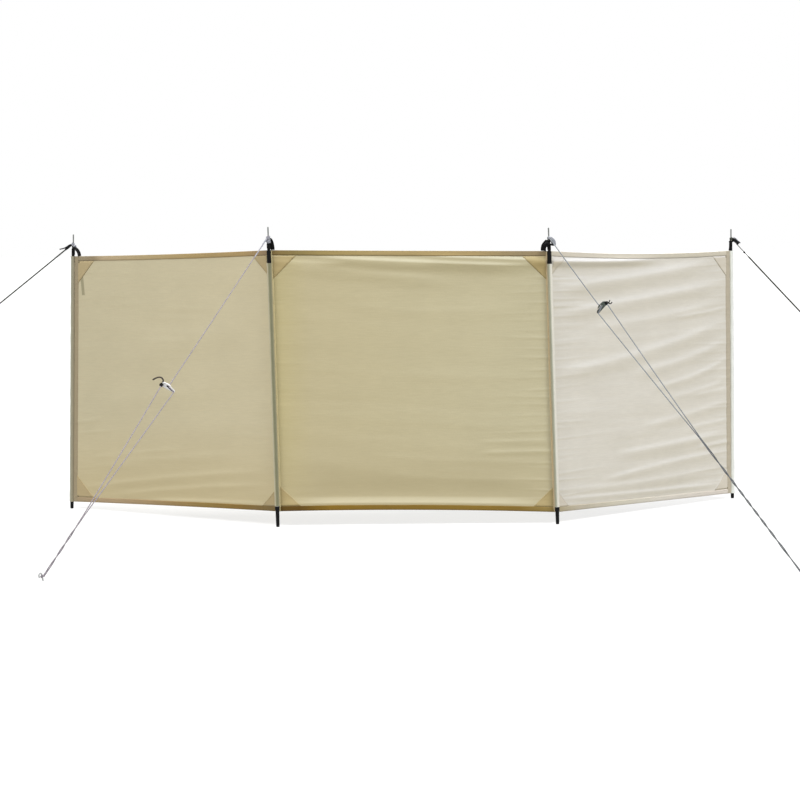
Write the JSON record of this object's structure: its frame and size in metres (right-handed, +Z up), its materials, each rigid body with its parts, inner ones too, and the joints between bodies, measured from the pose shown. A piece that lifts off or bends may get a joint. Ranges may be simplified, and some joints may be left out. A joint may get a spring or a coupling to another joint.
{
  "type": "camping windscreen",
  "caption": "Freestanding camping windscreen: fabric bays hung on capped poles in sewn tunnels, with corner patches, guy lines, sliders and pegs.",
  "frame": {"origin": "middle of the level tip of the inner left pole's foot, where it stands on the ground", "axes": "+X along the middle bay from the inner left pole to the inner right pole, +Y towards the side that the outer bays fold back to, +Z up"},
  "size_m": [7.2513, 4.3264, 1.7912],
  "materials": {
    "canvas": "plain-weave polycotton",
    "hem_tape": "stitched double fold",
    "patch_canvas": "stitched reinforcement",
    "sleeve_canvas": "double layer",
    "pole_steel": "galvanised",
    "black_plastic": "moulded",
    "pin_steel": "turned",
    "webbing": "woven",
    "tie_tape": "woven",
    "guy_cord": "braided",
    "pale_slider": "moulded",
    "dark_slider": "moulded",
    "peg_steel": "galvanised"
  },
  "bodies": {
    "root": {"panel_left": "canvas", "panel_centre": "canvas", "panel_right": "canvas", "hems_left": "hem_tape", "hems_centre": "hem_tape", "hems_right": "hem_tape", "patches_left": "patch_canvas", "patches_centre": "patch_canvas", "patches_right": "patch_canvas", "sleeve_1": "sleeve_canvas", "sleeve_2": "sleeve_canvas", "sleeve_3": "sleeve_canvas", "sleeve_4": "sleeve_canvas", "pole_1": "pole_steel", "pole_2": "pole_steel", "pole_3": "pole_steel", "pole_4": "pole_steel", "foot_1": "black_plastic", "foot_2": "black_plastic", "foot_3": "black_plastic", "foot_4": "black_plastic", "cap_1": "black_plastic", "cap_2": "black_plastic", "cap_3": "black_plastic", "cap_4": "black_plastic", "pin_1": "pin_steel", "pin_2": "pin_steel", "pin_3": "pin_steel", "pin_4": "pin_steel", "strap_1": "webbing", "strap_2": "webbing", "strap_3": "webbing", "strap_4": "webbing", "tie_strap": "tie_tape", "guy_1": "guy_cord", "guy_2": "guy_cord", "guy_3": "guy_cord", "guy_4": "guy_cord", "slider_1": "pale_slider", "slider_2": "pale_slider", "slider_3": "dark_slider", "slider_4": "dark_slider", "peg_1": "peg_steel", "peg_2": "peg_steel", "peg_3": "peg_steel", "peg_4": "peg_steel"}
  },
  "joints": []
}
